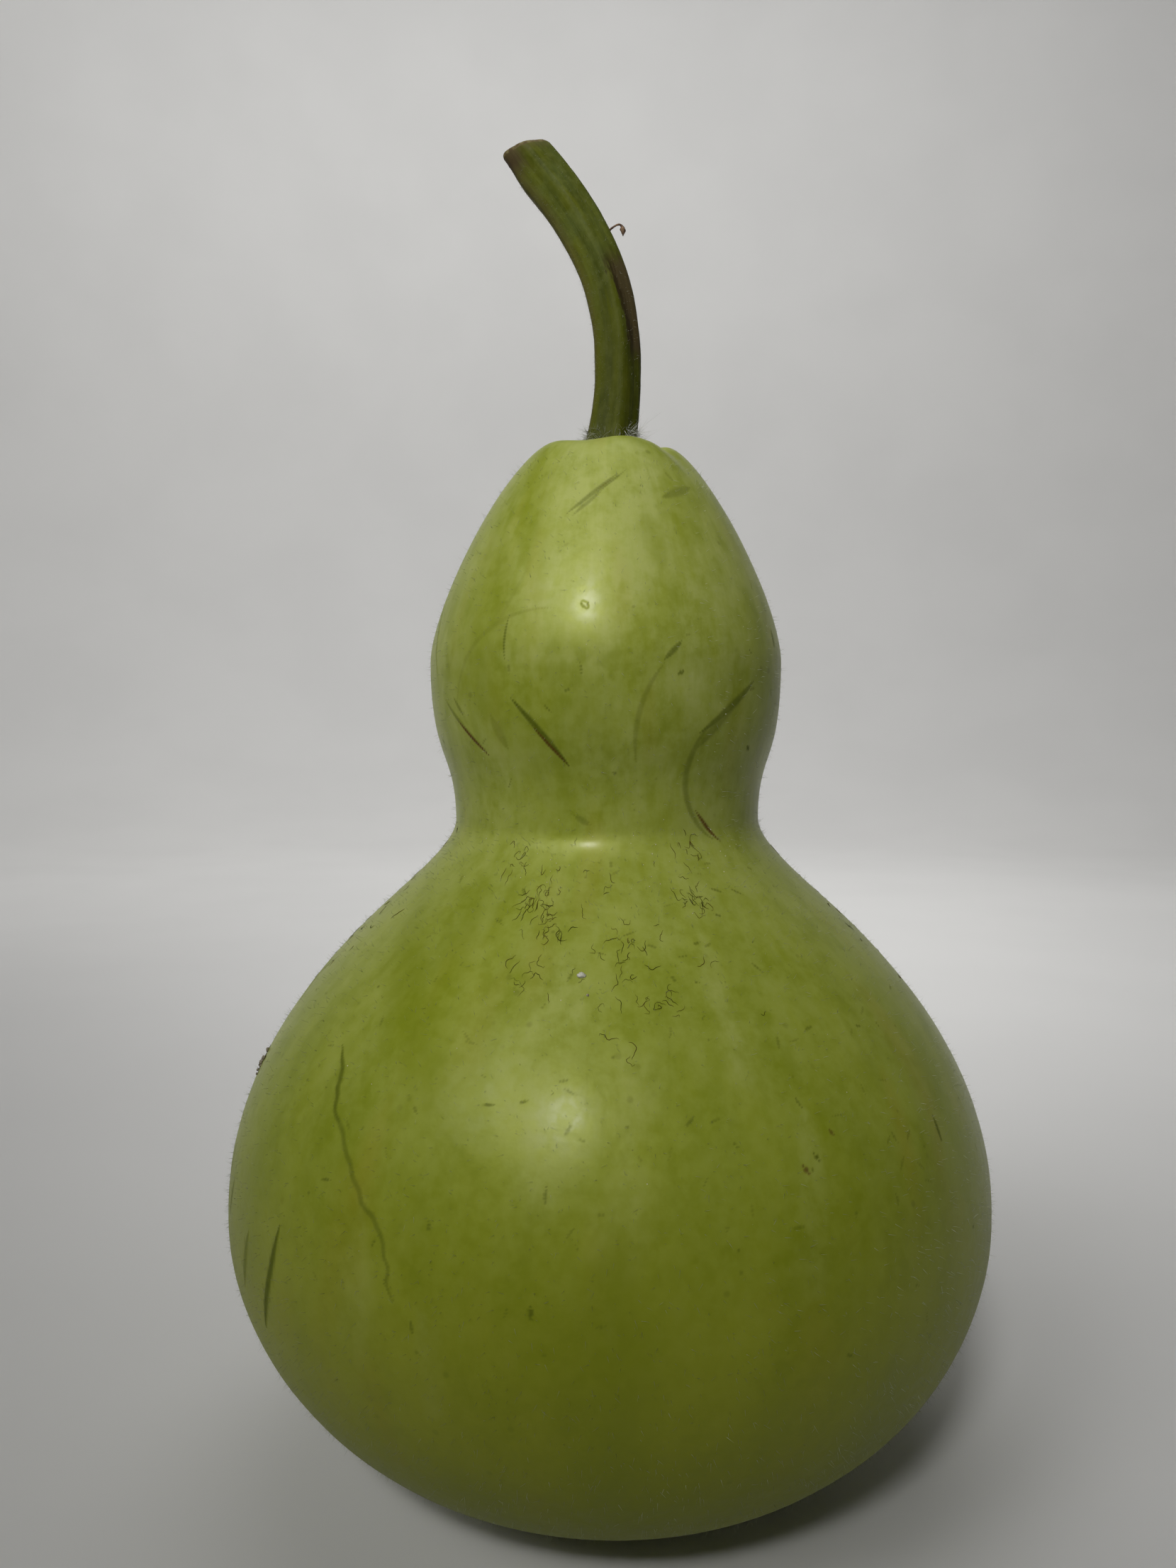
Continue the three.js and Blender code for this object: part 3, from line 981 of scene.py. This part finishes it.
def make_down(size, count):
    """Short pale hairs that stand on the skin and show along its edge."""
    rng, shape = random.Random(5), skin_shape()
    waist, _, rim, _ = landmarks(size)

    def one(bm):
        height = rng.choice((rng.uniform(12 * MM, waist), rng.uniform(12 * MM, rim - 4 * MM)))
        root, out = touch_down(shape, rng.uniform(0, 360), height)
        lean = Vector((rng.gauss(0, 0.5), rng.gauss(0, 0.5), rng.gauss(-0.1, 0.4)))
        way = (out + lean).normalized()
        reach = rng.uniform(0.4, 1.5) * MM
        straight_hair(bm, root - out * 0.03 * MM, way, reach, 0.028 * MM)

    bm = in_batches(count, one)
    return finish_piece("skin_down", bm, hair_material("pale_down", (0.46, 0.48, 0.34)), "fuzz")


def on_stem(line, stem, share, angle):
    """A place on the stem's side and the way out of it."""
    index = min(int(share * (len(line) - 1)), len(line) - 2)
    turn = section_turn(line[index + 1] - line[index])
    out = turn @ Vector((math.cos(angle), math.sin(angle), 0))
    point = line[index].lerp(line[index + 1], share * (len(line) - 1) - index)
    return point + out * (stem_section(stem, share, angle) - 0.05 * MM), out, turn.col[2]


def make_stem_down(size, stem, count):
    """Fine pale hairs on the stem, thickest on its left."""
    rng, line = random.Random(13), stem_line(size, stem)

    def one(bm):
        angle = rng.choice((rng.uniform(0, math.tau), rng.gauss(math.pi, 0.8)))
        root, out, ahead = on_stem(line, stem, rng.uniform(0.05, 0.97), angle)
        way = (out + ahead * rng.gauss(0, 0.6) + Vector((0, rng.gauss(0, 0.5), 0))).normalized()
        straight_hair(bm, root, way, rng.uniform(0.3, 0.9) * MM, 0.02 * MM)

    bm = in_batches(count, one)
    return finish_piece("stem_down", bm, hair_material("stem_hair", (0.5, 0.52, 0.4)), "fuzz")


def make_tuft(size, stem, count):
    """Longer grey hairs round the stem's foot, tallest on its right."""
    rng, line = random.Random(8), stem_line(size, stem)

    def one(bm):
        sides = rng.gauss(0, 0.5), rng.gauss(0, 0.8), rng.gauss(math.pi, 0.5)
        angle = rng.choice((*sides, rng.uniform(0, math.tau)))
        right = max(math.cos(angle), 0)
        top = (6.0 + 1.4 * right) * MM / stem.height
        root, out, _ = on_stem(line, stem, rng.uniform(0.02, top), angle)
        reach = rng.uniform(1.0, 2.4 + 1.6 * right) * MM
        spread = Vector((rng.gauss(0, 0.4), rng.gauss(0, 0.4), rng.uniform(-0.5, 0.9)))
        way = (out * rng.uniform(0.4, 1.0) + spread).normalized()
        droop = Vector((rng.gauss(0, 0.4), rng.gauss(0, 0.4), rng.gauss(-0.1, 0.35))) * reach
        bent_hair(bm, root, way, reach, rng.uniform(0.03, 0.05) * MM, droop)

    bm = in_batches(count, one)
    # Their grey is darker than the pale hairs are, so they show against the paper: partly painted shade.
    return finish_piece("foot_tuft", bm, hair_material("grey_tuft", (0.60, 0.61, 0.54)), "fuzz")


def hair_material(name, tint):
    """Thin pale hairs, a little uneven in tint."""
    paint = Paint(name, Roughness=0.45)
    patch = paint.noise(paint.place(), 500, 1, 0.5)
    dark = tuple(0.6 * part for part in tint)
    paint.set("Base Color", paint.mix(patch.step(0.35, 0.65), dark, tint))
    return paint.material


# Where shed hairs have gathered: how many, the turn, the share of the height, the spread in mm.
SHED_GROUPS = [
    (34, -20, 0.57, 3.0),
    (18, -14, 0.55, 2.2),
    (10, -32, 0.60, 2.5),
    (20, 21, 0.57, 1.8),
    (12, 28, 0.61, 3.0),
    (12, 2, 0.535, 2.0),
    (12, 9, 0.50, 1.8),
    (9, -18, 0.515, 1.8),
    (10, -78, 0.40, 1.3),
]
SCATTERED_HAIRS = 34


def make_shed_hairs():
    """Short brown hairs that lie tangled on the belly's shoulder."""
    rng, shape = random.Random(21), skin_shape()
    groups = [*SHED_GROUPS, *((SCATTERED_HAIRS, turn, 0.54, 15) for turn in (0, 90, 180, 270))]
    spots = [spot[1:] for spot in groups for _ in range(spot[0])]
    bm = bmesh.new()
    for turn, share, spread in spots:
        # The skin's radius is taken as 55 to 60 mm where they lie.
        turn = rng.gauss(turn, math.degrees(spread / 60))
        height = share * TALL + rng.gauss(0, spread * 0.6) * MM
        heading, step = rng.uniform(0, math.tau), rng.uniform(0.15, 0.4)
        line = []
        for _ in range(11):
            root, out = touch_down(shape, turn, height)
            line.append(root + out * 0.05 * MM)
            turn += math.degrees(math.cos(heading) * step / 55)
            height += math.sin(heading) * step * 0.85 * MM
            heading += rng.gauss(0, 0.65)
        thick = rng.uniform(0.03, 0.06) * MM
        tube(bm, line, lambda share, angle: thick * math.sin(math.pi * (0.12 + 0.8 * share)), 4)
    bmesh.ops.recalc_face_normals(bm, faces=bm.faces)
    paint = Paint("shed_hair", Roughness=0.7, Specular_IOR_Level=0.1)
    shade = paint.noise(paint.place(), 260, 1, 0.5).step(0.35, 0.65)
    paint.set("Base Color", paint.mix(shade, (0.022, 0.018, 0.001), (0.09, 0.05, 0.008)))
    return finish_piece("shed_hairs", bm, paint.material, "dried")


def crumb(bm, rng, place, normal, width, flat, rough, detail=3):
    """A small rough lump that sits on the skin."""
    turn = section_turn(normal).to_4x4()
    turn.translation = place
    shape = turn @ Matrix.Diagonal((width / 2, width / 2, width * flat / 2, 1))
    made = bmesh.ops.create_icosphere(bm, subdivisions=detail, radius=1)["verts"]
    offset = Vector((rng.uniform(0, 9), rng.uniform(0, 9), rng.uniform(0, 9)))
    for vert in made:
        vert.co *= 1 + rough * noise.noise(vert.co * 1.7 + offset)
        vert.co = shape @ vert.co


def make_specks():
    """The pale speck with its dark dot, the scurf at the left edge and tiny pale glossy beads that paint
    glints.
    """
    rng, shape = random.Random(3), skin_shape()
    pale, brown, beads = bmesh.new(), bmesh.new(), bmesh.new()
    for turn, width in ((-6.5, 1.1), (-6, 0.7), (-7, 0.6)):
        place, normal = touch_down(shape, turn, 0.518 * TALL)
        crumb(pale, rng, place + normal * 0.12 * MM, normal, width * MM, 0.5, 0.7)
    place, normal = touch_down(shape, -5, 0.505 * TALL)
    crumb(brown, rng, place, normal, 0.55 * MM, 0.6, 0.4)
    for _ in range(12):
        place, normal = touch_down(shape, rng.gauss(-78, 0.7), rng.gauss(0.398, 0.005) * TALL)
        width = rng.uniform(0.35, 1.0) * MM
        crumb(brown, rng, place + normal * 0.2 * MM, normal, width, 0.8, 0.9)
    # Beads whose pale colour is a painted glint: one in the pit, then a belt at the waist, a few over the
    # front, and the far side.
    spots = [(-8, 0.828)]
    spots += [(rng.uniform(-50, 50), rng.uniform(0.58, 0.64)) for _ in range(40)]
    spots += [(rng.uniform(-60, 60), rng.uniform(0.28, 0.82)) for _ in range(18)]
    spots += [(rng.uniform(60, 300), rng.uniform(0.47, 0.66)) for _ in range(40)]
    for turn, share in spots:
        place, normal = touch_down(shape, turn, share * TALL)
        crumb(beads, rng, place, normal, rng.uniform(0.12, 0.26) * MM, 0.8, 0.2, 1)
    for bm in (pale, brown, beads):
        bmesh.ops.recalc_face_normals(bm, faces=bm.faces)
    chalk = Paint("pale_speck", Roughness=0.6)
    shade = chalk.noise(chalk.place(), 1500)
    chalk.set("Base Color", chalk.mix(shade, (0.34, 0.34, 0.22), (0.82, 0.80, 0.70)))
    finish_piece("pale_specks", pale, chalk.material, "fuzz")
    # The beads' pale colour is a painted glint; their gloss catches the lamps as well.
    glint_paint = Paint("sap_bead", Roughness=0.12)
    glint_paint.set("Base Color", (0.72, 0.72, 0.5))
    finish_piece("sap_beads", beads, glint_paint.material, "fuzz")
    scurf = Paint("brown_scurf", Roughness=0.85)
    shade = scurf.noise(scurf.place(), 1200).step(0.35, 0.65)
    scurf.set("Base Color", scurf.mix(shade, (0.10, 0.08, 0.05), (0.34, 0.30, 0.21)))
    finish_piece("brown_scurf", brown, scurf.material, "dried")


# ---- Studio ------------------------------------------------------------------------------------


def make_stage(studio):
    """A round paper sweep under and behind the gourd, soft lights and the camera."""
    bm = bmesh.new()
    reach, bend = 1.9, 0.7
    profile = [Vector((0, 0, 0)), Vector((reach - bend, 0, 0))]
    for step in range(1, 13):
        angle = math.radians(90) * step / 12
        profile.append(Vector((reach - bend + bend * math.sin(angle), 0, bend - bend * math.cos(angle))))
    profile.append(Vector((reach, 0, 1.6)))
    verts = [bm.verts.new(point) for point in profile]
    edges = [bm.edges.new(pair) for pair in zip(verts, verts[1:])]
    bmesh.ops.spin(bm, geom=verts + edges, axis=(0, 0, 1), angle=math.tau, steps=96, use_merge=True)
    bmesh.ops.remove_doubles(bm, verts=bm.verts, dist=0.01 * MM)
    bmesh.ops.recalc_face_normals(bm, faces=bm.faces)
    bmesh.ops.reverse_faces(bm, faces=bm.faces)
    mesh = bpy.data.meshes.new("paper_sweep")
    bm.to_mesh(mesh)
    bm.free()
    mesh.shade_smooth()
    paper = Paint("paper", Roughness=0.9)
    tooth = paper.noise(paper.place(), 6, 2, 0.5).step(0.3, 0.7)
    dim = tuple(0.97 * part for part in studio.paper)
    paper.set("Base Color", paper.mix(tooth, dim, tuple(studio.paper)))
    mesh.materials.append(paper.material)
    sweep = bpy.data.objects.new("paper_sweep", mesh)
    bpy.context.scene.collection.objects.link(sweep)

    # The key and side lights aim over the gourd, so that little of their light falls before it.
    above = Vector((0, 0, FRUIT_HIGH.z * 1.3))
    crown = Vector((0, 0, FRUIT_HIGH.z))
    place = crown + LIGHT_DISTANCE * Vector((-0.2, -0.74, 0.643))
    soft_light("key_light", place, above, 0.26, studio.key_power, 24)
    place = crown + LIGHT_DISTANCE * Vector((-0.517, -0.482, 0.707))
    soft_light("side_light", place, above, 1.0, studio.side_power, 34)
    wall = Vector((-0.1, reach, 0.7))
    soft_light("paper_light", Vector((-0.1, 0.7, 1.3)), wall, 1.2, studio.paper_power, 180)
    ground = Vector((0, 0.7, 0))
    soft_light("floor_light", Vector((0, 0.6, 1.6)), ground, 1.2, studio.floor_power, 80)
    world = bpy.data.worlds.new("studio_air")
    world.use_nodes = True
    world.node_tree.nodes["Background"].inputs["Strength"].default_value = 0.01
    bpy.context.scene.world = world
    bpy.context.scene.view_settings.view_transform = "Standard"
    make_camera(studio)


def soft_light(name, place, aim, width, power, spread):
    """A square soft box that looks at a point. Its spread is in degrees."""
    data = bpy.data.lights.new(name, "AREA")
    data.size, data.energy, data.spread = width, power, math.radians(spread)
    light = bpy.data.objects.new(name, data)
    light.location = place
    light.rotation_euler = (aim - light.location).to_track_quat("-Z", "Y").to_euler()
    bpy.context.scene.collection.objects.link(light)


def make_camera(studio):
    data = bpy.data.cameras.new("eye")
    data.lens, data.sensor_width = studio.lens, 36
    data.clip_start, data.clip_end = 0.01, 20
    camera = bpy.data.objects.new("eye", data)
    camera.location = (-studio.eye_shift, -studio.eye_distance, studio.eye_height)
    camera.rotation_euler = (math.radians(90) + studio.eye_tilt, 0, 0)
    bpy.context.scene.collection.objects.link(camera)
    bpy.context.scene.camera = camera


# ---- Operators, panel and registration ---------------------------------------------------------


class GOURD_OT_stage(bpy.types.Operator):
    """Make the paper sweep, the lights and the camera"""

    bl_idname = "gourd.stage"
    bl_label = "Studio"

    def execute(self, context):
        make_stage(context.scene.gourd_studio)
        return {"FINISHED"}


class GOURD_OT_fruit(bpy.types.Operator):
    """Make the fruit's skin with its lumps, folds, scratches and bloom"""

    bl_idname = "gourd.fruit"
    bl_label = "Fruit"

    def execute(self, context):
        make_fruit(context.scene.gourd_fruit, context.scene.gourd_skin)
        return {"FINISHED"}


class GOURD_OT_stem(bpy.types.Operator):
    """Make the ridged stem with its dry cut end"""

    bl_idname = "gourd.stem"
    bl_label = "Stem"

    def execute(self, context):
        make_stem(context.scene.gourd_fruit, context.scene.gourd_stem)
        return {"FINISHED"}


class GOURD_OT_tendril(bpy.types.Operator):
    """Make the withered stub of a tendril on the stem"""

    bl_idname = "gourd.tendril"
    bl_label = "Withered tendril"

    def execute(self, context):
        make_tendril()
        return {"FINISHED"}


class GOURD_OT_hairs(bpy.types.Operator):
    """Make the down on skin and stem, the tuft round the stem's foot and the shed hairs"""

    bl_idname = "gourd.hairs"
    bl_label = "Hairs"

    def execute(self, context):
        scene = context.scene
        make_down(scene.gourd_fruit, scene.gourd_hairs.down)
        make_stem_down(scene.gourd_fruit, scene.gourd_stem, scene.gourd_hairs.stem_down)
        make_tuft(scene.gourd_fruit, scene.gourd_stem, scene.gourd_hairs.tuft)
        make_shed_hairs()
        return {"FINISHED"}


class GOURD_OT_specks(bpy.types.Operator):
    """Make the pale speck, the brown scurf and the pale glossy beads, painted glints, that lie on the skin
    """

    bl_idname = "gourd.specks"
    bl_label = "Specks"

    def execute(self, context):
        make_specks()
        return {"FINISHED"}


OPERATORS = (
    GOURD_OT_stage,
    GOURD_OT_fruit,
    GOURD_OT_stem,
    GOURD_OT_tendril,
    GOURD_OT_hairs,
    GOURD_OT_specks,
)
GROUPS = {
    "gourd_fruit": GourdFruitSizes,
    "gourd_skin": GourdSkinLooks,
    "gourd_stem": GourdStemSizes,
    "gourd_hairs": GourdHairCounts,
    "gourd_studio": GourdStudio,
}


class GOURD_PT_maker(bpy.types.Panel):
    """Lists the gourd's pieces and their sizes"""

    bl_idname = "GOURD_PT_maker"
    bl_label = "Bottle gourd"
    bl_space_type = "VIEW_3D"
    bl_region_type = "UI"
    bl_category = "Gourd"

    def draw(self, context):
        for operator in OPERATORS:
            self.layout.operator(operator.bl_idname)
        for name, group in GROUPS.items():
            box = self.layout.box()
            for prop in group.__annotations__:
                box.prop(getattr(context.scene, name), prop)


def register():
    for group in GROUPS.values():
        bpy.utils.register_class(group)
    for name, group in GROUPS.items():
        setattr(bpy.types.Scene, name, bpy.props.PointerProperty(type=group))
    for operator in OPERATORS:
        bpy.utils.register_class(operator)
    bpy.utils.register_class(GOURD_PT_maker)


def unregister():
    bpy.utils.unregister_class(GOURD_PT_maker)
    for operator in reversed(OPERATORS):
        bpy.utils.unregister_class(operator)
    for name, group in GROUPS.items():
        delattr(bpy.types.Scene, name)
        bpy.utils.unregister_class(group)


def main():
    register()
    bpy.ops.gourd.stage()
    bpy.ops.gourd.fruit()
    bpy.ops.gourd.stem()
    bpy.ops.gourd.tendril()
    bpy.ops.gourd.hairs()
    bpy.ops.gourd.specks()


if __name__ == "__main__":
    main()
